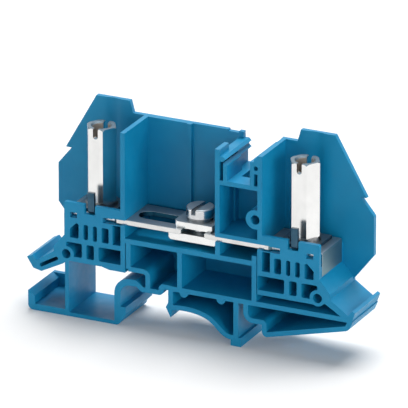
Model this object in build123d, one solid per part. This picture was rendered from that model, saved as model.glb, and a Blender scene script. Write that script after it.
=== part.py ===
from build123d import *
import math
import os

os.makedirs("parts", exist_ok=True)

# Test disconnect terminal block with stud terminals, tall sleeve nuts and a sliding link.
# X runs along the block, Y from its open front side to its closed back, Z up from the panel.
# The origin is the middle of the mounting seat, on the panel, half-way through the block.
# All sizes are in millimetres.

# Thicknesses of the moulding
depth = 14.0
back_wall = 1.2
wall = 1.2
partition_wall = 1.15
front_skin = 1.0
pocket_corner = 0.4

# Mounting seat, 35 mm across its two flanges
seat_half = 17.5
seat_play = 0.5
flange_top = 7.5
flange_thick = 1.0
catch_play = 0.3

# Levels of the moulding, from the feet to the top
foot_under = 1.5
foot_floor = 0.95
left_foot_floor = 1.55
low_shelf_top = 13.5
end_shelf_top = 16.5
lower_pocket_height = 3.5
band = 1.2
upper_pocket_height = 3.7
link_shelf_top = 23.3
bar_under = 26.4
skin_above_bar = 2.3
partition_top = 49.1
tall_plate_top = 52.0
back_step = 0.4

# Places along the length, each the same on both sides
partition_x = 16.8
channel_end = 20.0
block_end = 32.4
terminal_x = 25.8
pin_hole_x = 31.95
pin_hole_z = 16.95
pin_hole_r = 1.14
pin_ring_wall = 0.8

# Cored pockets under the terminals: where each starts and ends along the length
lower_pockets = [(16.9, 23.6), (24.8, 26.75), (27.9, 31.95)]
upper_pockets = [(21.0, 22.8), (24.0, 25.1), (26.3, 27.5), (28.7, 31.0)]
pocket_bevel = 1.6

# Front wall of the terminals
tab_notch_width = 2.7
window_drop = 0.2
window_height = 1.3
window_reach = 0.5
inner_window_end = 22.5
outer_window_start = 29.1
outer_window_end = 30.9

# Outline of the tall back plates
plate_end = 40.2
plate_low = 24.2
plate_high = 33.8
plate_nose_x = 38.15
plate_nose_z = 36.3
notch_in = 36.75
notch_top = 38.0
plate_tip = 38.25
plate_top_end = 30.3
plate_top_start = 21.7
plate_top_foot = 20.9
plate_foot_x = 34.6
plate_foot_z = 17.0
tool_clearance_r = 6.75

# Wire guides at both ends
guide_knee_x = 35.1
guide_top_z = 21.6
guide_knee_z = 18.4
guide_step = 1.3
guide_toe_x = 39.6
guide_toe_z = 14.0
lip_rise = 1.2
lip_reach = 1.1
lip_thick = 0.7
guide_root_x = 40.3
guide_root_z = 11.8
guide_web_x = 38.0
guide_web_z = 13.4
guide_ring_x = 33.9
guide_ring_z = 15.9

# Right foot
right_plate_z = 5.6
right_plate_end_x = 39.4
right_plate_end_z = 10.8
leg_x = 11.4
leg_foot_width = 2.6
leg_foot_height = 2.2
leg_gap = 1.3
bump_r = 1.05
bump_left = -1.85
bump_right = 7.6

# Spring leaf under the low shelf
leaf_start_x = -5.2
leaf_start_z = 8.15
leaf_crown_x = 0.0
leaf_crown_z = 8.45
leaf_mid_x = 5.6
leaf_mid_z = 6.6
leaf_low_x = 8.8
leaf_low_z = 3.9

# Left foot with its catch
catch_wall = 1.6
catch_top = 12.6
catch_bar_z = 11.4
catch_crest = 4.9
catch_slope = 1.4
catch_lip = 1.3
catch_lip_height = 2.0
hinge_x = 7.6
hinge_rise = 1.6
down_wall_inset = 1.5
rib_x = 31.8
rib_wall = 1.0
foot_end = 41.9
foot_end_wall = 1.7
foot_end_top = 6.2
foot_end_fall = 1.1
foot_back_top = 6.1
foot_corner = 1.3
lever_slot_width = 0.9
lever_slot_inner_x = 34.5
lever_slot_inner_z = 15.3
lever_slot_outer_x = 38.4
lever_slot_outer_z = 13.1
lever_heel_x = 40.5
lever_heel_z = 12.0
lever_bottom_x = 38.4
lever_bottom_z = 11.5
lever_root_x = 32.7
lever_root_z = 14.4
lever_lip_thick = 1.4
ramp_low = 0.5
ramp_start_x = 20.9
ramp_end_x = 22.8

# Ribs between the shelves
left_rib_x = 16.0
middle_rib_x = -2.9
right_rib_x = 16.0
right_rib_top = 24.6
stub_x = 6.75

# Marker tower
tower_left = 6.1
tower_floor = 1.05
groove_depth = 7.4
tower_shelf = 1.1
groove_left = 9.1
groove_left_rear = 7.9
jaw_front_depth = 7.9
groove_right = 14.9
tower_slot_width = 0.9
left_slot_height = 4.6
right_slot_height = 2.9
jaw_drop = 1.6
jaw_edge = 8.15
jaw_bump = 0.6
jaw_bump_pitch = 1.5
floor_hole_inset = 1.65
tower_hole_r = 0.55
tower_hole_drop = 3.1
tower_lead_in = 1.0
outer_wall_depth = 5.0
floor_hole_front = 4.4
floor_hole_length = 4.8
boss_z = 33.5
boss_r = 2.35
boss_hole_r = 1.13
side_groove = 0.5
side_groove_front = 5.6
side_groove_width = 2.9
tower_pocket_depth = 10.4

# Back wall of the link chamber
chamber_step_x = -5.6
chamber_step = 0.5
chamber_rib = 0.4
chamber_rib_width = 1.1
chamber_low_x = 3.4
chamber_end_x = 6.9

# Current bars
bar_thick = 1.2
bar_front = 0.6
bar_width = 11.3
bar_fit = 0.05
left_bar_end = -2.8
right_bar_end = 3.07
bar_narrow = 0.7
bar_bend_x = 32.6
bar_bend_r = 1.5
bar_leg = 2.0
bar_bevel = 0.4
bar_slot_width = 4.6
bar_slot_length = 13.0

# Terminal studs, washers and sleeve nuts
terminal_y = -0.65
stud_r = 2.0
stud_height = 11.0
stud_head_r = 3.0
stud_head = 0.7
thread_play = 0.05
stud_chamfer = 0.4
tab_washer_length = 9.6
tab_washer_width = 9.0
tab_washer_thick = 0.8
tab_width = 2.1
tab_top = 33.0
tab_play = 0.15
washer_play = 0.15
spring_washer_r = 3.8
spring_washer_thick = 0.9
spring_washer_gap = 0.7
spring_washer_slant = 25.0
nut_flats = 6.46
nut_height = 18.3
nut_slot_width = 1.25
nut_slot_depth = 2.5
nut_thread_length = 10.2
socket_depth = 7.3
socket_r = 2.1
socket_chamfer = 0.35
nut_chamfer = 0.3

# Disconnect link
link_x = -0.35
link_y = -1.1
slide_gap = 0.02
top_plate_length = 9.8
top_plate_width = 8.4
top_plate_thick = 1.5
nut_plate_length = 12.1
nut_plate_width = 9.0
nut_plate_thick = 1.9
plate_chamfer = 0.5
plate_round = 1.2
link_washer_r = 3.1
link_washer_thick = 0.7
screw_r = 2.0
screw_head_r = 3.35
screw_head = 2.3
screw_slot_width = 1.1
screw_slot_depth = 1.3
screw_slot_turn = -5.0
screw_end_gap = 0.5
head_chamfer = 0.3

# Places that follow from the sizes above
front_y = -depth / 2
back_y = depth / 2
wall_y = back_y - back_wall
skin_y = front_y + front_skin
bar_top = bar_under + bar_thick
window_under = bar_under - window_drop
skin_top = bar_top + skin_above_bar
end_shelf_under = end_shelf_top - wall
low_shelf_under = low_shelf_top - wall
lower_pocket_top = end_shelf_top + lower_pocket_height
upper_pocket_under = lower_pocket_top + band
upper_pocket_top = upper_pocket_under + upper_pocket_height
partition_end = partition_x + partition_wall
tower_shelf_top = partition_top - groove_depth
tower_shelf_under = tower_shelf_top - tower_shelf
jaw_top = partition_top - jaw_drop
boss_x = partition_x - boss_hole_r / 2
tower_floor_under = bar_top + bar_fit
tower_floor_top = tower_floor_under + tower_floor
bar_front_y = front_y + bar_front
bar_back_y = bar_front_y + bar_width
bar_neck_y = bar_front_y + bar_narrow
bar_leg_bottom = bar_under - bar_leg
seat_height = flange_top + seat_play
catch_inner = seat_half + seat_play
catch_outer = catch_inner + catch_wall
catch_x = catch_inner + catch_wall / 2
catch_crest_x = catch_x - catch_crest
catch_valley_x = catch_crest_x - catch_slope
down_wall_x = catch_valley_x - down_wall_inset
right_plate_x = seat_half + seat_play + wall / 2
bar_neck_x = channel_end - bar_narrow - bar_fit
tab_washer_top = bar_top + tab_washer_thick
nut_under = tab_washer_top + spring_washer_thick
top_plate_under = bar_top + slide_gap
top_plate_top = top_plate_under + top_plate_thick
nut_plate_top = bar_under - slide_gap
nut_plate_under = nut_plate_top - nut_plate_thick
link_washer_top = top_plate_top + link_washer_thick
screw_top = link_washer_top + screw_head
screw_end = link_shelf_top + screw_end_gap


def through(face, low_y, high_y):
    """Solid of an upright outline, drawn as X and Z, between two depths."""
    solid = extrude(face, amount=high_y - low_y)
    return Pos(0, high_y, 0) * Rot(90, 0, 0) * solid


def block(low_x, high_x, low_y, high_y, low_z, high_z):
    """Box given by its lowest and highest corners."""
    size = Box(high_x - low_x, high_y - low_y, high_z - low_z)
    return Pos((low_x + high_x) / 2, (low_y + high_y) / 2, (low_z + high_z) / 2) * size


def panel(low_x, high_x, low_z, high_z, corner=0.0):
    """Upright rectangle, with round corners where a radius is given."""
    width = high_x - low_x
    height = high_z - low_z
    shape = RectangleRounded(width, height, corner) if corner > 0 else Rectangle(width, height)
    return Pos((low_x + high_x) / 2, (low_z + high_z) / 2) * shape


def outline(*points):
    """Upright face inside straight edges."""
    return make_face(Polyline(*points, close=True))


def strip(*points, thick=wall, bend=0.0):
    """Wall of even thickness along a middle line, with round bends where a radius is given."""
    line = FilletPolyline(*points, radius=bend) if bend > 0 else Polyline(*points)
    return trace(line, line_width=thick)


def disc(x, z, radius):
    """Upright round face."""
    return Pos(x, z) * Circle(radius)


def other_side(shape):
    """The same outline or solid at the left end of the block."""
    return mirror(shape, about=Plane.YZ)


def pocket_row(spans, low_z, high_z):
    """Round-cornered pockets of one row."""
    row = Sketch()
    for low_x, high_x in spans:
        row += panel(low_x, high_x, low_z, high_z, pocket_corner)
    return row


def terminal_pockets():
    """Cored pockets under the right terminal, in two rows, and the open channel beside them."""
    last_low, last_high = upper_pockets[-1]
    bevel = outline(
        (last_high - pocket_bevel, upper_pocket_top),
        (last_high, upper_pocket_top),
        (last_high, upper_pocket_top - pocket_bevel),
    )
    pockets = pocket_row(lower_pockets, end_shelf_top, lower_pocket_top)
    pockets -= disc(pin_hole_x, pin_hole_z, pin_hole_r + pin_ring_wall)
    pockets += pocket_row(upper_pockets, upper_pocket_under, upper_pocket_top) - bevel
    return pockets + panel(partition_end, channel_end, upper_pocket_under, bar_under)


def guide_surface(lip):
    """Upper line of the right wire guide, from the tip of its lip up to the end of the block."""
    return [
        (guide_toe_x + lip_reach + lip, guide_toe_z + lip_rise - lip / 2),
        (guide_toe_x + lip_reach, guide_toe_z + lip_rise),
        (guide_toe_x, guide_toe_z),
        (guide_knee_x, guide_knee_z - guide_step),
        (guide_knee_x, guide_knee_z),
        (block_end, guide_top_z),
        (block_end, bar_under),
        (partition_x, bar_under),
    ]


def right_terminal():
    """Block under the right terminal with its wire guide, seen from the front."""
    face = outline(
        (partition_x, end_shelf_under),
        (pin_hole_x, end_shelf_under),
        (guide_ring_x, guide_ring_z),
        (guide_web_x, guide_web_z),
        (guide_root_x, guide_root_z),
        *guide_surface(lip_thick),
    )
    face += disc(pin_hole_x, pin_hole_z, pin_hole_r + pin_ring_wall)
    return face


def left_terminal():
    """Block under the left terminal, drawn at the right: its guide is the thick release lever."""
    ramp_under = end_shelf_under - ramp_low
    return outline(
        (partition_x, ramp_under),
        (ramp_start_x, ramp_under),
        (ramp_end_x, end_shelf_under),
        (rib_x, end_shelf_under),
        (lever_root_x, lever_root_z),
        (lever_bottom_x, lever_bottom_z),
        (lever_heel_x, lever_heel_z),
        *guide_surface(lever_lip_thick),
    )


def lever_slot():
    """Long slot in the release lever, drawn at the right."""
    slot = strip(
        (lever_slot_inner_x, lever_slot_inner_z),
        (lever_slot_outer_x, lever_slot_outer_z),
        thick=lever_slot_width,
    )
    end_r = lever_slot_width / 2
    slot += disc(lever_slot_inner_x, lever_slot_inner_z, end_r)
    return slot + disc(lever_slot_outer_x, lever_slot_outer_z, end_r)


def front_wall():
    """Thin wall in front of the right terminal, with the notch for the washer's tongue."""
    face = panel(partition_x, block_end, bar_under - pocket_corner, skin_top, pocket_corner)
    notch_low = terminal_x - tab_notch_width / 2
    notch_high = terminal_x + tab_notch_width / 2
    face -= panel(notch_low, notch_high, bar_top, skin_top + skin_above_bar, pocket_corner)
    return face - panel(partition_x, channel_end, window_under, bar_top + bar_fit)


def front_windows():
    """Two windows in the right front wall, level with the edge of the bar."""
    window_top = window_under + window_height
    windows = panel(outer_window_start, outer_window_end, window_under, window_top)
    return windows + panel(channel_end, inner_window_end, window_under, window_top)


def tall_plate():
    """Tall plate behind the right terminal, down to the end shelf."""
    return outline(
        (partition_x, end_shelf_under),
        (plate_foot_x, plate_foot_z),
        (plate_end, plate_low),
        (plate_end, plate_high),
        (plate_nose_x, plate_nose_z),
        (notch_in, notch_top),
        (plate_tip, notch_top),
        (plate_top_end, tall_plate_top),
        (plate_top_start, tall_plate_top),
        (plate_top_foot, partition_top),
        (partition_x, partition_top),
    )


def middle_walls():
    """Shelves and ribs between the two terminals, seen from the front."""
    shelf_z = end_shelf_top - wall / 2
    low_z = low_shelf_top - wall / 2
    link_z = link_shelf_top - wall / 2
    walls = strip((-partition_end, link_z), (right_rib_x, link_z))
    walls += strip((leaf_start_x, low_z), (guide_root_x - lip_thick, low_z))
    walls += strip((-left_rib_x, shelf_z), (-left_rib_x, link_z))
    walls += strip((middle_rib_x, low_z), (middle_rib_x, link_z))
    walls += strip((right_rib_x, low_z), (right_rib_x, right_rib_top))
    walls += strip((stub_x, link_z), (stub_x, bar_under))
    walls += panel(-partition_end, -partition_x, end_shelf_top, bar_under)
    walls += strip(
        (-left_rib_x, shelf_z),
        (-down_wall_x, shelf_z),
        (-down_wall_x, catch_bar_z),
        bend=wall,
    )
    return walls


def catch():
    """Springy hook at the left of the mounting seat, its hinge loop and its lower lip."""
    hinge_z = catch_bar_z + hinge_rise
    nose_x = leaf_start_x - wall
    hook = FilletPolyline(
        (-catch_x, foot_under),
        (-catch_x, catch_top),
        (-catch_crest_x, catch_top),
        (-catch_valley_x, catch_bar_z),
        (-hinge_x, catch_bar_z),
        (-hinge_x, hinge_z),
        (leaf_start_x, hinge_z),
        radius=[2 * catch_wall, wall / 2, wall / 2, wall / 2, wall / 2],
    )
    face = trace(hook, line_width=wall)
    crest = FilletPolyline(
        (-catch_x, foot_under), (-catch_x, catch_top), (-catch_crest_x, catch_top),
        radius=2 * catch_wall,
    )
    face += trace(crest, line_width=catch_wall)
    lip_top = flange_top - flange_thick - catch_play
    lip_x = -catch_inner + catch_lip
    face += outline(
        (-catch_outer, lip_top),
        (lip_x, lip_top),
        (lip_x, lip_top - catch_lip_height),
        (-catch_inner, foot_under + foot_corner),
        (-catch_outer, foot_under + foot_corner),
    )
    face += outline(
        (leaf_start_x - wall / 2, low_shelf_top),
        (leaf_start_x + wall / 2, low_shelf_top),
        (leaf_start_x + wall / 2, leaf_start_z),
        (leaf_start_x, leaf_start_z - 2 * wall),
        (nose_x, leaf_start_z),
        (leaf_start_x - wall / 2, leaf_start_z + wall),
    )
    return face


def leaf_line():
    """Middle line of the spring leaf that presses on the seat."""
    return Spline(
        (leaf_start_x, leaf_start_z),
        (leaf_crown_x, leaf_crown_z),
        (leaf_mid_x, leaf_mid_z),
        (leaf_low_x, leaf_low_z),
        (leg_x, foot_under + leg_foot_height),
    )


def right_foot():
    """Leg, hook and sloping plate at the right of the mounting seat."""
    low_z = low_shelf_top - wall / 2
    hook_z = seat_height + wall / 2
    curve_x = leg_x + wall + leg_gap
    face = trace(leaf_line(), line_width=wall)
    face += strip((leg_x, low_z), (leg_x, foot_under))
    foot_low = leg_x - leg_foot_width / 2
    foot_high = leg_x + leg_foot_width / 2
    face += panel(foot_low, foot_high, foot_under, foot_under + leg_foot_height)
    hook = FilletPolyline(
        (curve_x, low_z),
        (curve_x, hook_z),
        (right_plate_x, hook_z),
        (right_plate_x, right_plate_z),
        (right_plate_end_x, right_plate_end_z),
        (guide_root_x, low_z),
        radius=[1.5 * wall, wall / 2, wall / 2, wall],
    )
    face += trace(hook, line_width=wall)
    for x in (bump_left, bump_right):
        face += disc(x, low_shelf_under, bump_r) & panel(x - wall, x + wall, foot_under, low_z)
    return face


def left_foot():
    """Wide left foot: its floor, end wall and upright rib."""
    floor_top = foot_under + left_foot_floor
    face = panel(-foot_end, -rib_x, foot_under, floor_top)
    face += panel(-rib_x, -catch_inner, foot_under, foot_under + foot_floor)
    face += strip((-rib_x, foot_under), (-rib_x, end_shelf_under + wall / 2), thick=rib_wall)
    face += outline(
        (-foot_end, floor_top),
        (-foot_end + foot_end_wall, floor_top),
        (-foot_end + foot_end_wall, foot_end_top - foot_end_fall),
        (-foot_end, foot_end_top),
    )
    return face


def lower_corner(x, side):
    """What a round lower corner of the foot leaves off, at its left (1) or right (-1) end."""
    middle_x = x + side * foot_corner
    low_x, high_x = sorted((x, middle_x))
    square = panel(low_x, high_x, foot_under, foot_under + foot_corner)
    return square - disc(middle_x, foot_under + foot_corner, foot_corner)


def lower_back():
    """Back wall below the shelves: everything but the left foot and the mounting seat."""
    low_z = low_shelf_top - wall / 2
    hook_z = seat_height + wall / 2
    curve_x = leg_x + wall + leg_gap
    face = panel(-partition_end, partition_end, end_shelf_under, link_shelf_top)
    face += panel(-down_wall_x, right_rib_x, low_z, end_shelf_top)
    face += panel(-down_wall_x, -hinge_x, catch_bar_z, end_shelf_top)
    face += panel(-foot_end, -rib_x, foot_under, foot_back_top)
    leaf = leaf_line()
    face += make_face(leaf + Polyline(leaf @ 1, (leg_x, low_z), (leaf_start_x, low_z), leaf @ 0))
    face += outline(
        (curve_x, end_shelf_top),
        (curve_x, hook_z),
        (right_plate_x, hook_z),
        (right_plate_x, right_plate_z),
        (right_plate_end_x, right_plate_end_z),
        (guide_root_x, low_z),
        (guide_toe_x, guide_toe_z),
        (guide_ring_x, end_shelf_top),
    )
    return face


def tower():
    """Marker tower right of the middle, seen from the front."""
    wall_high = tower_left + partition_wall
    strip_high = partition_x - tower_slot_width
    slot_z = tower_shelf_top
    face = panel(tower_left, wall_high, tower_floor_under, partition_top)
    face += panel(tower_left, partition_end, tower_floor_under, tower_floor_top)
    face += panel(tower_left, partition_end, tower_shelf_under, tower_shelf_top)
    face += panel(chamber_end_x, jaw_edge, slot_z, jaw_top)
    for step in (0, 1):
        z = jaw_top - jaw_bump - step * jaw_bump_pitch
        face += outline((jaw_edge, z + jaw_bump), (jaw_edge + jaw_bump, z), (jaw_edge, z - jaw_bump))
    face += panel(groove_right, partition_end, slot_z, jaw_top)
    face += outline(
        (strip_high, jaw_top),
        (partition_end, jaw_top),
        (partition_end, partition_top),
        (strip_high + tower_lead_in, partition_top),
        (strip_high, partition_top - tower_lead_in),
    )
    face += panel(partition_x, partition_end, tower_floor_under, partition_top - tower_lead_in)
    face -= panel(strip_high, partition_x, slot_z, slot_z + right_slot_height)
    face -= disc((strip_high + partition_x) / 2, partition_top - tower_hole_drop, tower_hole_r)
    return face + (disc(boss_x, boss_z, boss_r) & panel(tower_left, partition_end, bar_top, partition_top))


def housing():
    """The one-piece moulding, open at the front and closed at the back."""
    pockets = terminal_pockets()
    right_block = right_terminal() - pockets
    left_block = other_side(left_terminal() - pockets - lever_slot())
    walls = middle_walls() + right_block + left_block + right_foot() + left_foot() + catch()
    body = through(walls, front_y, back_y)

    plate = tall_plate()
    body += through(plate + other_side(plate) + lower_back(), wall_y, back_y)
    low_part = panel(-partition_end, chamber_end_x, link_shelf_top, partition_top - back_step)
    high_part = panel(-partition_end, chamber_low_x, link_shelf_top, partition_top)
    body += through(low_part + high_part, wall_y, back_y)
    thick_part = panel(-partition_end, chamber_step_x, bar_top + bar_fit, partition_top)
    thick_y = wall_y - chamber_step
    body += through(thick_part, thick_y, wall_y)
    rib_start_x = chamber_step_x - chamber_rib_width
    rib = panel(rib_start_x, chamber_step_x, bar_top + bar_fit, partition_top)
    body += through(rib, thick_y - chamber_rib, thick_y)
    body += through(panel(tower_left, partition_end, link_shelf_top, tower_shelf_top), wall_y, back_y)

    front = front_wall()
    body += through(front + other_side(front), front_y, skin_y)
    body += block(-partition_end, -partition_x, front_y, back_y, bar_under, partition_top)
    body += through(tower(), front_y, back_y)
    windows = front_windows()
    body -= through(windows + other_side(windows), front_y - wall, bar_neck_y + window_reach)

    wall_high = tower_left + partition_wall
    body -= block(
        tower_left - wall, wall_high, front_y + outer_wall_depth, wall_y,
        jaw_top, partition_top + wall,
    )
    jaw_low = wall_high + tower_slot_width
    jaw_back = front_y + jaw_front_depth
    jaw_foot = jaw_top - jaw_bump - jaw_bump_pitch
    body += block(jaw_edge, groove_left, front_y, jaw_back, tower_shelf_top, jaw_foot)
    body -= block(groove_left_rear, jaw_edge, jaw_back, back_y, tower_shelf_top, jaw_foot - jaw_bump)
    body -= block(
        wall_high, jaw_low, front_y, jaw_back, tower_shelf_top, tower_shelf_top + left_slot_height
    )
    hole_front = front_y + floor_hole_front
    body -= block(
        groove_left + floor_hole_inset, groove_right, hole_front, hole_front + floor_hole_length,
        tower_shelf_under, tower_shelf_top,
    )
    pocket_back = panel(tower_left, partition_end, tower_floor_top, tower_shelf_under)
    body += through(pocket_back, front_y + tower_pocket_depth, wall_y)
    groove_front = front_y + side_groove_front
    body -= block(
        wall_high - side_groove, wall_high, groove_front, groove_front + side_groove_width,
        tower_floor_top, tower_shelf_under,
    )
    body -= through(disc(boss_x, boss_z, boss_hole_r), front_y - wall, back_y + wall)
    for x, side in ((-foot_end, 1), (-catch_inner, -1)):
        body -= through(lower_corner(x, side), front_y - wall, back_y + wall)
    for side in (-1, 1):
        body -= terminal_cuts(side)
    return body


def terminal_cuts(side):
    """Room in the moulding for one bar, its stud's head and the tool that turns the nut."""
    low_x = partition_x - wall
    slot = block(low_x, channel_end, front_y - wall, bar_back_y + bar_fit, bar_under, bar_top + bar_fit)
    leg_x_in = bar_bend_x - bar_thick - bar_fit
    leg_room = block(
        leg_x_in, bar_bend_x + wall, skin_y, bar_back_y + bar_fit,
        bar_leg_bottom - bar_fit, bar_top,
    )
    bend_in = bar_bend_r - bar_thick
    bend_room = outline(
        (leg_x_in - bend_in, bar_under), (leg_x_in, bar_under), (leg_x_in, bar_under - bend_in)
    )
    leg_room += through(bend_room, skin_y, bar_back_y + bar_fit)
    head = Pos(terminal_x, terminal_y, bar_under - (stud_head + bar_fit) / 2)
    head_room = head * Cylinder(stud_head_r + bar_fit, stud_head + bar_fit)
    tool_height = tall_plate_top - bar_top + wall
    tool = Pos(terminal_x, terminal_y, bar_top + tool_height / 2)
    tool_room = tool * Cylinder(tool_clearance_r, tool_height)
    tool_room &= block(
        partition_end, block_end, terminal_y, back_y, bar_top, tall_plate_top + wall
    )
    pin_hole = through(disc(pin_hole_x, pin_hole_z, pin_hole_r), front_y - wall, back_y + wall)
    cuts = slot + leg_room + head_room + tool_room + pin_hole
    return cuts if side > 0 else other_side(cuts)


def current_bar(inner_end):
    """Right-hand current bar from its inner end to its leg, bent down over the block's end."""
    middle_z = bar_under + bar_thick / 2
    leg_x_mid = bar_bend_x - bar_thick / 2
    line = FilletPolyline(
        (inner_end, middle_z), (leg_x_mid, middle_z), (leg_x_mid, bar_leg_bottom),
        radius=bar_bend_r - bar_thick / 2,
    )
    bar = through(trace(line, line_width=bar_thick), bar_front_y, bar_back_y)
    neck_end = bar_neck_x + bar_narrow
    shoulder = Polyline(
        (bar_neck_x, bar_front_y), (neck_end, bar_neck_y), (bar_bend_x + wall, bar_neck_y),
        (bar_bend_x + wall, bar_front_y), close=True,
    )
    tall = bar_thick + bar_leg + bar_bend_r
    bar -= Pos(0, 0, bar_top - tall) * extrude(make_face(shoulder), amount=tall)
    bevel = outline(
        (inner_end, bar_under), (inner_end + bar_bevel, bar_under), (inner_end, bar_under + bar_bevel)
    )
    bar -= through(bevel, bar_front_y, bar_back_y)
    return bar - Pos(terminal_x, terminal_y, middle_z) * Cylinder(stud_r, bar_thick)


def left_current_bar():
    """Left bar: as the right one, with a long slot, open at its inner end, for the link's screw."""
    bar = other_side(current_bar(-left_bar_end))
    slot_r = bar_slot_width / 2
    slot_end = left_bar_end - bar_slot_length
    slot = Pos(slot_end + slot_r, link_y, bar_under + bar_thick / 2) * Cylinder(slot_r, bar_thick)
    slot += block(
        slot_end + slot_r, left_bar_end, link_y - slot_r, link_y + slot_r, bar_under, bar_top
    )
    return bar - slot


def stud():
    """Right terminal stud: flat head under the bar, threaded shank above."""
    head = Pos(terminal_x, terminal_y, bar_under - stud_head / 2) * Cylinder(stud_head_r, stud_head)
    length = bar_thick + stud_height
    shank = Pos(terminal_x, terminal_y, bar_under + length / 2) * Cylinder(stud_r, length)
    shank = chamfer(shank.edges().sort_by(Axis.Z)[-1], stud_chamfer)
    return head + shank


def tab_washer():
    """Right plate washer, with a tongue bent up into the notch of the front wall."""
    middle_z = bar_top + tab_washer_thick / 2
    tongue_y = front_y + tab_washer_thick / 2 + tab_play
    line = FilletPolyline(
        (terminal_y, middle_z), (tongue_y, middle_z), (tongue_y, tab_top), radius=tab_washer_thick
    )
    side_face = Plane.YZ.offset(terminal_x) * trace(line, line_width=tab_washer_thick)
    tongue = extrude(side_face, amount=tab_width / 2, both=True)
    plate = block(
        terminal_x - tab_washer_length / 2, terminal_x + tab_washer_length / 2,
        terminal_y - tab_washer_width / 2, terminal_y + tab_washer_width / 2,
        bar_top, tab_washer_top,
    )
    hole = Pos(terminal_x, terminal_y, middle_z) * Cylinder(stud_r + washer_play, 2 * tab_washer_thick)
    return plate + tongue - hole


def split_washer(x, y, under, outer_r, inner_r, thick):
    """Spring washer with a narrow slanted gap, pressed flat."""
    middle = Pos(x, y, under + thick / 2)
    ring = middle * (Cylinder(outer_r, thick) - Cylinder(inner_r, thick))
    gap = Box(outer_r, spring_washer_gap, 2 * thick)
    return ring - middle * Pos(outer_r / 2, 0, 0) * Rot(spring_washer_slant, 0, 0) * gap


def sleeve_nut():
    """Right sleeve nut: hexagonal, threaded below, with a test socket and a slot above."""
    hexagon = RegularPolygon(nut_flats / 2, 6, major_radius=False)
    nut = extrude(hexagon, amount=nut_height)
    corner_r = nut_flats / math.sqrt(3)
    round_body = Cylinder(corner_r, nut_height, align=(Align.CENTER, Align.CENTER, Align.MIN))
    round_body = chamfer(round_body.edges().filter_by(GeomType.CIRCLE), nut_chamfer)
    nut &= round_body
    thread_r = stud_r + thread_play
    nut -= Pos(0, 0, nut_thread_length / 2) * Cylinder(thread_r, nut_thread_length)
    nut -= Pos(0, 0, nut_height - socket_depth / 2) * Cylinder(socket_r, socket_depth)
    mouth = Cone(socket_r, socket_r + socket_chamfer, socket_chamfer)
    nut -= Pos(0, 0, nut_height - socket_chamfer / 2) * mouth
    slot_r = nut_slot_width / 2
    slot_foot = nut_height - nut_slot_depth + slot_r
    nut -= Pos(0, 0, slot_foot) * Rot(90, 0, 0) * Cylinder(slot_r, 2 * nut_flats)
    nut -= block(-slot_r, slot_r, -nut_flats, nut_flats, slot_foot, nut_height)
    return Pos(terminal_x, terminal_y, nut_under) * nut


def link_plate(length, width, under, thick, hole_r):
    """Clamping plate of the link with bevelled lower ends and a hole for the screw."""
    plate = block(
        link_x - length / 2, link_x + length / 2, link_y - width / 2, link_y + width / 2,
        under, under + thick,
    )
    ends = plate.faces().sort_by(Axis.Z)[0].edges().filter_by(Axis.Y)
    plate = chamfer(ends, plate_chamfer)
    return plate - Pos(link_x, link_y, under + thick / 2) * Cylinder(hole_r, thick)


def link_top_plate():
    """Upper clamping plate, with its two left corners rounded."""
    hole_r = screw_r + washer_play
    plate = link_plate(top_plate_length, top_plate_width, top_plate_under, top_plate_thick, hole_r)
    corners = plate.edges().filter_by(Axis.Z).sort_by(Axis.X)[:2]
    return fillet(corners, plate_round)


def link_screw():
    """Slotted cheese-head screw with its head above the link's washer."""
    head = Pos(0, 0, link_washer_top + screw_head / 2) * Cylinder(screw_head_r, screw_head)
    head = chamfer(head.edges().sort_by(Axis.Z)[-1], head_chamfer)
    slot = Box(screw_slot_width, 2 * screw_head_r, 2 * screw_slot_depth)
    head -= Pos(0, 0, screw_top) * Rot(0, 0, screw_slot_turn) * slot
    length = link_washer_top - screw_end
    shank = Pos(0, 0, screw_end + length / 2) * Cylinder(screw_r, length)
    shank = chamfer(shank.edges().sort_by(Axis.Z)[0], stud_chamfer)
    return Pos(link_x, link_y, 0) * (head + shank)


parts = {
    "housing": housing(),
    "left_current_bar": left_current_bar(),
    "right_current_bar": current_bar(right_bar_end),
    "link_top_plate": link_top_plate(),
    "link_nut_plate": link_plate(
        nut_plate_length, nut_plate_width, nut_plate_under, nut_plate_thick, screw_r + thread_play
    ),
    "link_spring_washer": split_washer(
        link_x, link_y, top_plate_top, link_washer_r, screw_r + washer_play, link_washer_thick
    ),
    "link_screw": link_screw(),
}

end_parts = {
    "stud": stud(),
    "tab_washer": tab_washer(),
    "spring_washer": split_washer(
        terminal_x, terminal_y, tab_washer_top, spring_washer_r, stud_r + washer_play,
        spring_washer_thick,
    ),
    "sleeve_nut": sleeve_nut(),
}
for name, solid in end_parts.items():
    parts["right_" + name] = solid
    parts["left_" + name] = other_side(solid)

for name, solid in parts.items():
    export_step(solid, "parts/" + name + ".step")
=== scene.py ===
import math

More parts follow.
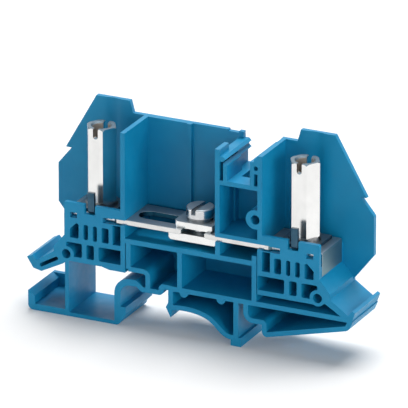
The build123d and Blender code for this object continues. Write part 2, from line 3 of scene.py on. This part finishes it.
import bmesh
import bpy
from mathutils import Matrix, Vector


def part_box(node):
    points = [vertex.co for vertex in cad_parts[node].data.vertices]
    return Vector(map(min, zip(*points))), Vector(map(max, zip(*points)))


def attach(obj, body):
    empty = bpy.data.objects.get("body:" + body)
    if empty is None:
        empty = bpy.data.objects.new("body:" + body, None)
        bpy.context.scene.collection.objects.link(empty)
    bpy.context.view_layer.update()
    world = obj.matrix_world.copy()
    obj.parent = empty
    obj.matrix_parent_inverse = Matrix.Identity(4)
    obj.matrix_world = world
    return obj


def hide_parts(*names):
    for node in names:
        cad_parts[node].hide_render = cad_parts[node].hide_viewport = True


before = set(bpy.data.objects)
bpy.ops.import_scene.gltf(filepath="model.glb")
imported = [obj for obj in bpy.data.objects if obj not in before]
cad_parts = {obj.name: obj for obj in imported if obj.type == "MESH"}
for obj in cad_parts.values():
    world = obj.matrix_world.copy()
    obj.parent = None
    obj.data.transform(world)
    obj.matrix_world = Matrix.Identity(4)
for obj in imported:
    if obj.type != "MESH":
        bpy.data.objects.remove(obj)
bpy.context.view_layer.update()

# The whole block as it is looked at: a long lens, a little above and to the right of the open side.
# The picture's middle lies just over the clamping link.
azimuth, elevation, viewer_distance = math.radians(25.57), math.radians(21.36), 1.8
film_width, picture_width, pixels_per_metre = 36, 408, 4355
block_middle, picture_lift = Vector((0, 0, 0.02675)), 0.00506
viewer = bpy.data.cameras.new("viewer")
viewer.sensor_width = film_width
viewer.lens = film_width * pixels_per_metre * viewer_distance / picture_width
viewer.clip_start, viewer.clip_end = 0.05, 20
viewer_object = bpy.data.objects.new("viewer", viewer)
bpy.context.scene.collection.objects.link(viewer_object)
bpy.context.scene.camera = viewer_object
toward_viewer = Vector((
    math.sin(azimuth) * math.cos(elevation),
    -math.cos(azimuth) * math.cos(elevation),
    math.sin(elevation),
))
viewer_object.rotation_mode = "QUATERNION"
viewer_object.rotation_quaternion = (-toward_viewer).to_track_quat("-Z", "Y")
picture_up = viewer_object.rotation_quaternion @ Vector((0, 1, 0))
picture_middle = block_middle + picture_up * picture_lift
viewer_object.location = picture_middle + toward_viewer * viewer_distance

# The housing is one injection moulding in blue polyamide, open at the front and closed at the back.
# Its skin has the fine, dull grain of a spark-eroded mould, and every edge is slightly rounded.
polyamide_blue = (0.003, 0.222, 0.425, 1)
polyamide_pale = (0.005, 0.238, 0.446, 1)
polyamide_deep = (0.002, 0.206, 0.402, 1)
grain_low, grain_high = 0.3, 0.7
edge_steps, join_reach = 2, 0.000002
level_angle, crease_angle, corner_angle = math.radians(0.5), math.radians(35), math.radians(40)


def blank_finish(name):
    """A new surface finish, with the tree of nodes that it is mixed from."""
    finish = bpy.data.materials.new(name)
    finish.use_nodes = True
    return finish, finish.node_tree


def grain(tree, scale, detail=3.0, along=(1, 1, 1)):
    """Cloudy grain, measured in the block's own metres and stretched as along says."""
    place = tree.nodes.new("ShaderNodeTexCoord")
    stretch = tree.nodes.new("ShaderNodeMapping")
    stretch.inputs["Scale"].default_value = along
    cloud = tree.nodes.new("ShaderNodeTexNoise")
    cloud.inputs["Scale"].default_value = scale
    cloud.inputs["Detail"].default_value = detail
    tree.links.new(place.outputs["Object"], stretch.inputs["Vector"])
    tree.links.new(stretch.outputs["Vector"], cloud.inputs["Vector"])
    return cloud.outputs["Fac"]


def tint(tree, source, *stops):
    """Colours that follow a grain, from its low places to its high ones."""
    ramp = tree.nodes.new("ShaderNodeValToRGB")
    while len(ramp.color_ramp.elements) < len(stops):
        ramp.color_ramp.elements.new(0.5)
    for element, (level, colour) in zip(ramp.color_ramp.elements, stops):
        element.position = level
        element.color = colour
    tree.links.new(source, ramp.inputs["Fac"])
    return ramp.outputs["Color"]


def spread(tree, source, smooth, rough):
    """A roughness that follows a grain, from its low places to its high ones."""
    span = tree.nodes.new("ShaderNodeMapRange")
    span.inputs["From Min"].default_value = grain_low
    span.inputs["From Max"].default_value = grain_high
    span.inputs["To Min"].default_value = smooth
    span.inputs["To Max"].default_value = rough
    tree.links.new(source, span.inputs["Value"])
    return span.outputs["Result"]


def relief(tree, source, depth, strength, over=None):
    """Fine relief of a grain, on top of another relief where one is given."""
    bump = tree.nodes.new("ShaderNodeBump")
    bump.inputs["Strength"].default_value = strength
    bump.inputs["Distance"].default_value = depth
    tree.links.new(source, bump.inputs["Height"])
    if over is not None:
        tree.links.new(over, bump.inputs["Normal"])
    return bump.outputs["Normal"]


def lay_on(tree, colour, roughness, texture, metallic=0):
    """Lays colour, roughness and relief on a surface, which is metal where metallic is 1."""
    skin = tree.nodes["Principled BSDF"]
    skin.inputs["Metallic"].default_value = metallic
    tree.links.new(colour, skin.inputs["Base Color"])
    tree.links.new(roughness, skin.inputs["Roughness"])
    tree.links.new(texture, skin.inputs["Normal"])


joined_faces = bpy.data.node_groups.new("joined_faces", "GeometryNodeTree")
for way in ("INPUT", "OUTPUT"):
    joined_faces.interface.new_socket("Geometry", in_out=way, socket_type="NodeSocketGeometry")
steps, joints = joined_faces.nodes, joined_faces.links
inlet = steps.new("NodeGroupInput")
plain = steps.new("GeometryNodeRemoveAttribute")
plain.inputs["Name"].default_value = "custom_normal"
merge = steps.new("GeometryNodeMergeByDistance")
merge.inputs["Distance"].default_value = join_reach
smooth = steps.new("GeometryNodeSetShadeSmooth")
bend = steps.new("GeometryNodeInputMeshEdgeAngle")
sharp = steps.new("FunctionNodeCompare")
sharp.operation = "GREATER_THAN"
sharp.inputs["B"].default_value = crease_angle
crease = steps.new("GeometryNodeSetShadeSmooth")
crease.domain = "EDGE"
crease.inputs["Shade Smooth"].default_value = False
outlet = steps.new("NodeGroupOutput")
joints.new(inlet.outputs[0], plain.inputs["Geometry"])
joints.new(plain.outputs["Geometry"], merge.inputs["Geometry"])
joints.new(merge.outputs["Geometry"], smooth.inputs["Geometry"])
joints.new(smooth.outputs["Geometry"], crease.inputs["Geometry"])
joints.new(bend.outputs["Unsigned Angle"], sharp.inputs["A"])
joints.new(sharp.outputs["Result"], crease.inputs["Selection"])
joints.new(crease.outputs["Geometry"], outlet.inputs[0])


def round_edges(part, radius):
    """Softens the sharp edges of one part, as a mould, a punch or a file leaves them."""
    whole = part.modifiers.new("joined_faces", "NODES")
    whole.node_group = joined_faces
    flat = part.modifiers.new("whole_faces", "DECIMATE")
    flat.decimate_type = "DISSOLVE"
    flat.angle_limit = level_angle
    soft = part.modifiers.new("soft_edges", "BEVEL")
    soft.width = radius
    soft.segments = edge_steps
    soft.limit_method = "ANGLE"
    soft.angle_limit = corner_angle
    soft.harden_normals = True


def finish_part(name, finish, edge=None):
    """Gives one part of the block its finish, and rounds its edges where a radius is given."""
    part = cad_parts[name]
    part.data.materials.clear()
    part.data.materials.append(finish)
    if edge is not None:
        round_edges(part, edge)


moulded_blue, tree = blank_finish("moulded_blue")
tree.nodes["Principled BSDF"].inputs["Specular IOR Level"].default_value = 0.28
flow = grain(tree, scale=130, detail=4)
waves = relief(tree, flow, depth=0.00006, strength=0.12)
erosion = grain(tree, scale=5200, detail=2)
lay_on(
    tree,
    colour=tint(tree, flow, (0.3, polyamide_deep), (0.5, polyamide_blue), (0.72, polyamide_pale)),
    roughness=spread(tree, grain(tree, scale=420), smooth=0.36, rough=0.5),
    texture=relief(tree, erosion, depth=0.00001, strength=0.25, over=waves),
)
finish_part("housing", moulded_blue, edge=0.00014)

# The two current bars are stamped from copper strip, bent down at their outer ends and tinned.
# Their rolled faces are satin, and are painted a darker slate grey than the bright edges that the
# punch cut: painted shade. The wall of the left bar's slot is painted a dull dark blue, a painted
# reflection of the housing around it, and the faces that look to the sides, the bent legs among
# them, are painted teal, a painted reflection of the blue wire guide. The model's short leg is
# drawn out here down to the wire guide.
tin_light = (0.72, 0.72, 0.71, 1)
tin_dark = (0.62, 0.62, 0.61, 1)
# Painted shade: the colour of the flat faces, darker slate grey than the bright tin.
flats_painted_shade = (0.37, 0.4, 0.42, 1)
# Painted reflection: teal on the faces that look to the sides, for the blue wire guide they mirror.
leg_painted_reflection = (0.17, 0.27, 0.3, 1)
# Painted reflection: dark blue on the slot wall, for the dark housing around it.
slot_wall_painted_reflection = (0.01, 0.055, 0.09, 1)
rolled_roughness = 0.4
slot_inner_end, slot_round_end = -0.0028, -0.0135
slot_middle_y, slot_reach = -0.0011, 0.00234
bar_corner_x, bar_corner_z = 0.0326, 0.0276
bend_radius, tight_radius, inner_radius = 0.0015, 0.0005, 0.001
leg_end_above, leg_end_z, hair = 0.0246, 0.02195, 0.00001


def reckon(tree, operation, first, second=None):
    """One step of arithmetic on the surface, with sockets or plain numbers."""
    step = tree.nodes.new("ShaderNodeMath")
    step.operation = operation
    for socket, value in zip(step.inputs, (first, second)):
        if isinstance(value, (int, float)):
            socket.default_value = value
        elif value is not None:
            tree.links.new(value, socket)
    return step.outputs[0]


def coordinates(tree, kind="Object"):
    """Where a point of a part lies, or with kind Normal which way it faces, as X, Y and Z."""
    place = tree.nodes.new("ShaderNodeTexCoord")
    split = tree.nodes.new("ShaderNodeSeparateXYZ")
    tree.links.new(place.outputs[kind], split.inputs[0])
    return split.outputs


def level_distance(tree, along, across):
    """How far a point lies from an upright line, by its distances along and across the block."""
    offset = tree.nodes.new("ShaderNodeCombineXYZ")
    distance = tree.nodes.new("ShaderNodeVectorMath")
    distance.operation = "LENGTH"
    tree.links.new(along, offset.inputs["X"])
    tree.links.new(across, offset.inputs["Y"])
    tree.links.new(offset.outputs[0], distance.inputs[0])
    return distance.outputs["Value"]


def rolled_face(tree, axis="Z", nearly=0.7):
    """Is 1 on the faces of a part that look nearly along an axis, and 0 elsewhere."""
    facing = reckon(tree, "ABSOLUTE", coordinates(tree, "Normal")[axis])
    return reckon(tree, "GREATER_THAN", facing, nearly)


def patch(tree, where, base, over):
    """The base colour or roughness, with another one laid over it in some places."""
    blend = tree.nodes.new("ShaderNodeMix")
    blend.data_type = "RGBA" if isinstance(over, tuple) else "FLOAT"
    blend.inputs["B"].default_value = over
    tree.links.new(where, blend.inputs["Factor"])
    tree.links.new(base, blend.inputs["A"])
    return blend.outputs["Result"]


def stand_in(name, part, mesh, finish, edge):
    """Puts a reshaped mesh in the place of one part that is fixed in the housing."""
    mesh.materials.clear()
    mesh.materials.append(finish)
    piece = bpy.data.objects.new(name, mesh)
    bpy.context.scene.collection.objects.link(piece)
    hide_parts(part)
    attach(piece, "block")
    round_edges(piece, edge)


tinned, tree = blank_finish("tinned_strip")
x, y = coordinates(tree)[:2]
beyond_slot = reckon(tree, "MAXIMUM", x, slot_round_end)
nearest_x = reckon(tree, "MINIMUM", beyond_slot, slot_inner_end)
along = reckon(tree, "SUBTRACT", x, nearest_x)
across = reckon(tree, "SUBTRACT", y, slot_middle_y)
in_slot = reckon(tree, "LESS_THAN", level_distance(tree, along, across), slot_reach)
rolled, leg_face = rolled_face(tree), rolled_face(tree, "X")
colour = tint(tree, grain(tree, scale=300), (0.3, tin_dark), (0.65, tin_light))
# Painted colours: painted shade on the flat faces, painted reflections on the side faces and in the
# slot.
for face, painted_tone in ((rolled, flats_painted_shade), (leg_face, leg_painted_reflection), (in_slot, slot_wall_painted_reflection)):
    colour = patch(tree, face, colour, painted_tone)
streaks = grain(tree, scale=2600, detail=2, along=(0.03, 1, 1))
roughness = spread(tree, streaks, smooth=0.2, rough=0.265)
for face in (rolled, leg_face):
    roughness = patch(tree, face, roughness, rolled_roughness)
texture = relief(tree, streaks, depth=0.000001, strength=0.1)
lay_on(tree, colour, roughness, texture, metallic=1)
for side in ("left", "right"):
    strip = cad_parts[side + "_current_bar"].data.copy()
    for corner in strip.vertices:
        out = 1 if corner.co.x > 0 else -1
        bend_x = abs(corner.co.x) - (bar_corner_x - bend_radius)
        bend_z = corner.co.z - (bar_corner_z - bend_radius)
        from_bend = math.hypot(bend_x, bend_z)
        if bend_x > -hair and bend_z > -hair and from_bend > inner_radius:
            tighter = tight_radius / from_bend
            corner.co.x = out * (bar_corner_x - tight_radius + bend_x * tighter)
            corner.co.z = bar_corner_z - tight_radius + bend_z * tighter
        elif corner.co.z < leg_end_above:
            corner.co.z = leg_end_z
    part, name = side + "_current_bar", side + "_bent_bar"
    stand_in(name, part, strip, tinned, edge=0.00013)

# Each stud is a zinc-plated steel screw whose flat head is held under the bar.
# Its rolled thread runs up from the bar to the top of the stud, inside the sleeve nut.
zinc_light = (0.74, 0.75, 0.76, 1)
zinc_dark = (0.58, 0.60, 0.62, 1)
thread_pitch, thread_root, thread_crest = 0.0007, 0.00196, 0.00209
half_root_width, half_crest_width, steps_per_turn = 0.42, 0.08, 36
above_bar, below_top = 0.0003, 0.0004
zinc, tree = blank_finish("zinc_plate")
crystals = grain(tree, scale=900, detail=4)
lay_on(
    tree,
    colour=tint(tree, crystals, (0.3, zinc_dark), (0.7, zinc_light)),
    roughness=spread(tree, crystals, smooth=0.29, rough=0.38),
    texture=relief(tree, crystals, depth=0.000004, strength=0.15),
    metallic=1,
)


def upright_axis(part):
    """Where the middle of a part stands, along and across the block."""
    low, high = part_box(part)
    return (low[0] + high[0]) / 2, (low[1] + high[1]) / 2


def rolled_thread(name, body, axis, low, high, finish):
    """Helical ridge of a screw thread between two levels, on an upright shank."""
    profile = (
        (thread_root, -half_root_width),
        (thread_crest, -half_crest_width),
        (thread_crest, half_crest_width),
        (thread_root, half_root_width),
    )
    ridge = bmesh.new()
    turns = (high - low - thread_pitch) / thread_pitch
    last_ring = None
    for step in range(int(turns * steps_per_turn) + 1):
        turned_by = 2 * math.pi * step / steps_per_turn
        middle = low + thread_pitch * (0.5 + step / steps_per_turn)
        ring = []
        for radius, pitches_up in profile:
            x = axis[0] + radius * math.cos(turned_by)
            y = axis[1] + radius * math.sin(turned_by)
            ring.append(ridge.verts.new((x, y, middle + pitches_up * thread_pitch)))
        if last_ring:
            for near in range(len(profile) - 1):
                far = near + 1
                ridge.faces.new((last_ring[near], ring[near], ring[far], last_ring[far]))
        last_ring = ring
    mesh = bpy.data.meshes.new(name)
    ridge.to_mesh(mesh)
    ridge.free()
    mesh.materials.append(finish)
    for face in mesh.polygons:
        face.use_smooth = True
    thread = bpy.data.objects.new(name, mesh)
    bpy.context.scene.collection.objects.link(thread)
    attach(thread, body)


for side in ("left", "right"):
    stud = side + "_stud"
    finish_part(stud, zinc)
    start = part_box(side + "_current_bar")[1][2] + above_bar
    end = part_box(stud)[1][2] - below_top
    rolled_thread(side + "_stud_thread", "block", upright_axis(stud), start, end, zinc)

# A plate washer lies on each bar, stamped from steel strip that is passivated to a dark blue grey.
# A tongue of it is bent up into the notch of the front wall and keeps it from turning. The tongue
# is cut a little narrower here than in the model.
steel_light = (0.05, 0.11, 0.165, 1)
steel_dark = (0.03, 0.075, 0.115, 1)
# Painted light: the washer's flat faces are painted a lighter grey than its tongue.
steel_flats_painted_light = (0.22, 0.25, 0.27, 1)
plate_front, tongue_half_width, tongue_trim = -0.00514, 0.00105, 0.00045
dark_steel, tree = blank_finish("dark_steel")
blooms = grain(tree, scale=700, detail=4)
rolled = rolled_face(tree)
colour = tint(tree, blooms, (0.3, steel_dark), (0.7, steel_light))
roughness = spread(tree, blooms, smooth=0.3, rough=0.42)
lay_on(
    tree,
    colour=patch(tree, rolled, colour, steel_flats_painted_light),
    roughness=patch(tree, rolled, roughness, rolled_roughness),
    texture=relief(tree, blooms, depth=0.000004, strength=0.12),
    metallic=1,
)
for side in ("left", "right"):
    part, name = side + "_tab_washer", side + "_tongue_washer"
    tongue_side = upright_axis(part)[0] - tongue_half_width
    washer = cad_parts[part].data.copy()
    for corner in washer.vertices:
        if corner.co.y < plate_front and abs(corner.co.x - tongue_side) < hair:
            corner.co.x += tongue_trim
    stand_in(name, part, washer, dark_steel, edge=0.00006)

# The spring washers are split rings of hardened steel wire, rolled flat and plated.
# They are a little darker and duller than the parts that they lock.
wire_light = (0.3, 0.31, 0.32, 1)
wire_dark = (0.16, 0.17, 0.18, 1)
spring_wire, tree = blank_finish("spring_wire")
drawn = grain(tree, scale=1500)
lay_on(
    tree,
    colour=tint(tree, drawn, (0.3, wire_dark), (0.7, wire_light)),
    roughness=spread(tree, drawn, smooth=0.28, rough=0.4),
    texture=relief(tree, drawn, depth=0.000004, strength=0.15),
    metallic=1,
)
for name in ("left_spring_washer", "right_spring_washer", "link_spring_washer"):
    finish_part(name, spring_wire)

# The tall sleeve nuts are turned from hexagonal brass bar and nickel plated.
# Their flats keep fine lines along the bar, and a slot and a test socket are cut in the top.
nickel_light = (0.83, 0.83, 0.82, 1)
nickel_dark = (0.75, 0.75, 0.74, 1)
nickel_bore = (0.55, 0.51, 0.47, 1)
# Painted shade: the nuts' end faces are painted dark slate grey instead of bright nickel.
nut_ends_painted_shade = (0.13, 0.17, 0.2, 1)
bore_reach, slot_half_width, slot_floor, cut_roughness = 0.0024, 0.00066, 0.04738, 0.45


def nickel_finish(tree, *patches):
    """Bright nickel plate with fine upright lines, and patches of other colour and roughness."""
    colour = tint(tree, grain(tree, scale=260), (0.3, nickel_dark), (0.65, nickel_light))
    bar_lines = grain(tree, scale=3800, detail=2, along=(1, 1, 0.02))
    roughness = spread(tree, bar_lines, smooth=0.17, rough=0.23)
    for where, patch_colour, patch_roughness in patches:
        colour = patch(tree, where, colour, patch_colour)
        roughness = patch(tree, where, roughness, patch_roughness)
    texture = relief(tree, bar_lines, depth=0.000002, strength=0.12)
    lay_on(tree, colour, roughness, texture, metallic=1)


for side in ("left", "right"):
    nut = side + "_sleeve_nut"
    nut_x, nut_y = upright_axis(nut)
    plated, tree = blank_finish(side + "_nut_plate")
    x, y, z = coordinates(tree)
    along = reckon(tree, "SUBTRACT", x, nut_x)
    across = reckon(tree, "SUBTRACT", y, nut_y)
    in_bore = reckon(tree, "LESS_THAN", level_distance(tree, along, across), bore_reach)
    in_slot = reckon(tree, "LESS_THAN", reckon(tree, "ABSOLUTE", along), slot_half_width)
    above_floor = reckon(tree, "GREATER_THAN", z, slot_floor)
    slot_wall = reckon(tree, "MULTIPLY", in_slot, above_floor)
    cut_face = reckon(tree, "MAXIMUM", in_bore, slot_wall)
    nickel_finish(
        tree,
        (cut_face, nickel_bore, cut_roughness),
        # the end faces get the painted shade
        (rolled_face(tree), nut_ends_painted_shade, cut_roughness),
    )
    finish_part(nut, plated, edge=0.00007)

# The disconnect link is two nickel-plated plates that a slotted screw clamps onto both bars.
# The upper plate is stamped with round corners, and the lower one is threaded for the screw.
nickel, tree = blank_finish("nickel_plate")
# The plates' flat faces are painted slate grey: painted shade.
nickel_finish(tree, (rolled_face(tree), flats_painted_shade, rolled_roughness))
for name in ("link_top_plate", "link_nut_plate"):
    finish_part(name, nickel, edge=0.00012)

# The link's screw is turned steel, nickel plated: a slotted cheese head over a threaded shank.
# The lathe leaves fine rings on its head, and the slot is milled across it.
screw_light = (0.64, 0.65, 0.66, 1)
screw_dark = (0.54, 0.55, 0.57, 1)
above_tip, below_washer = 0.0004, 0.0002
screw_x, screw_y = upright_axis("link_screw")
turned, tree = blank_finish("turned_head")
place = tree.nodes.new("ShaderNodeTexCoord")
centre = tree.nodes.new("ShaderNodeMapping")
centre.inputs["Location"].default_value = (-screw_x, -screw_y, 0)
lathe = tree.nodes.new("ShaderNodeTexWave")
lathe.wave_type = "RINGS"
lathe.rings_direction = "Z"
lathe.inputs["Scale"].default_value = 1500
lathe.inputs["Distortion"].default_value = 0.6
tree.links.new(place.outputs["Object"], centre.inputs["Vector"])
tree.links.new(centre.outputs["Vector"], lathe.inputs["Vector"])
rings = lathe.outputs["Fac"]
# The head's flat faces are painted slate grey: painted shade.
rolled = rolled_face(tree)
colour = tint(tree, grain(tree, scale=700), (0.3, screw_dark), (0.7, screw_light))
roughness = spread(tree, rings, smooth=0.2, rough=0.265)
lay_on(
    tree,
    colour=patch(tree, rolled, colour, flats_painted_shade),
    roughness=patch(tree, rolled, roughness, rolled_roughness),
    texture=relief(tree, rings, depth=0.000002, strength=0.12),
    metallic=1,
)
finish_part("link_screw", turned, edge=0.00006)
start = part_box("link_screw")[0][2] + above_tip
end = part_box("link_spring_washer")[0][2] - below_washer
rolled_thread("link_screw_thread", "link_screw", (screw_x, screw_y), start, end, turned)

# The block stands on a plain pale table under soft studio light.
# The table and the room beyond it show white, and keep the block's soft shadow.
table_reach, table_top, paper_grey = 3.0, 0.0015, 0.82
table_glow, room_light = 0.05, 0.08


def white_to_viewer(tree):
    """Is 1 where the viewer looks, also in a gloss or through glass, and 0 for other light."""
    ray = tree.nodes.new("ShaderNodeLightPath").outputs
    straight = reckon(tree, "MAXIMUM", ray["Is Camera Ray"], ray["Is Glossy Ray"])
    return reckon(tree, "MAXIMUM", straight, ray["Is Transmission Ray"])


table_mesh = bpy.data.meshes.new("table")
corners = [(-1, -1), (1, -1), (1, 1), (-1, 1)]
table_mesh.from_pydata(
    [(x * table_reach, y * table_reach, table_top) for x, y in corners], [], [(0, 1, 2, 3)]
)
table = bpy.data.objects.new("table", table_mesh)
bpy.context.scene.collection.objects.link(table)
paper, tree = blank_finish("paper")
skin = tree.nodes["Principled BSDF"]
skin.inputs["Base Color"].default_value = (paper_grey, paper_grey, paper_grey, 1)
skin.inputs["Roughness"].default_value = 0.9
skin.inputs["Specular IOR Level"].default_value = 0.1
skin.inputs["Emission Color"].default_value = (1, 1, 1, 1)
glow = reckon(tree, "MULTIPLY", white_to_viewer(tree), table_glow)
tree.links.new(glow, skin.inputs["Emission Strength"])
table_mesh.materials.append(paper)

room = bpy.data.worlds.new("room")
bpy.context.scene.world = room
room.use_nodes = True
tree = room.node_tree
walls = tree.nodes["Background"]
walls.inputs["Color"].default_value = (1, 1, 1, 1)
brightness = reckon(tree, "MAXIMUM", white_to_viewer(tree), room_light)
tree.links.new(brightness, walls.inputs["Strength"])


def soft_lamp(name, place, size, power):
    """A large square lamp that points at the middle of the block."""
    lamp = bpy.data.lights.new(name, "AREA")
    lamp.shape = "SQUARE"
    lamp.size = size
    lamp.energy = power
    lamp_object = bpy.data.objects.new(name, lamp)
    bpy.context.scene.collection.objects.link(lamp_object)
    lamp_object.location = place
    lamp_object.rotation_mode = "QUATERNION"
    lamp_object.rotation_quaternion = (block_middle - Vector(place)).to_track_quat("-Z", "Y")


soft_lamp("right_lamp", place=(0.9, -0.39, 0.22), size=0.5, power=4.1)
soft_lamp("left_lamp", place=(-0.9, -0.39, 0.22), size=0.5, power=3.1)
soft_lamp("top_lamp", place=(0.0, 0.35, 0.93), size=0.8, power=13.5)
soft_lamp("front_lamp", place=(0.4, -0.84, 0.36), size=0.6, power=1.45)

bpy.context.scene.view_settings.view_transform = "Standard"
